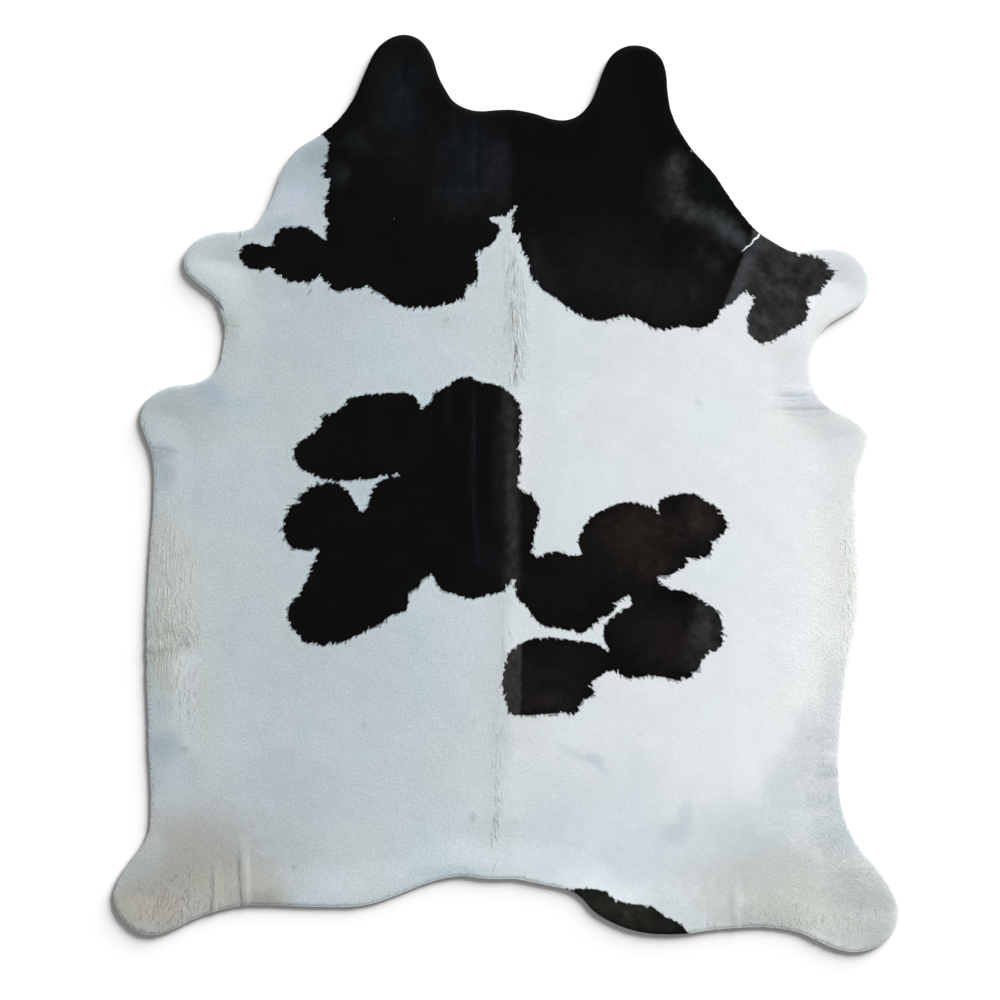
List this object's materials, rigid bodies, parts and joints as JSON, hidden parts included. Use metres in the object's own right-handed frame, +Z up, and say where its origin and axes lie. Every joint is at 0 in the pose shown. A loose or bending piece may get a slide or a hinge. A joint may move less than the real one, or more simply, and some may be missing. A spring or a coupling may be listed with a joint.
{
  "type": "cowhide rug",
  "caption": "Hair-on cowhide rug: a tanned cow skin with ear, fore-leg and hind-leg flaps, short white and grey hair with black patches, laid flat",
  "frame": {"origin": "on the floor plane, under the middle of the hide's length and width", "axes": "+X to the hide's right flap side seen from above with the neck up, +Y along the spine towards the neck, +Z up from the floor through the hair side"},
  "size_m": [1.8316, 2.138, 0.0096],
  "materials": {
    "hair_coat": "sleek flat-lying short cow hair with a soft sheen; white and pale blue-grey with black patches, beige to taupe at the belly edge and hind legs",
    "raw_leather": "napped suede flesh side and knife-cut edge, pale greyish tan"
  },
  "bodies": {
    "root": {"hide": "hair_coat"}
  },
  "joints": []
}
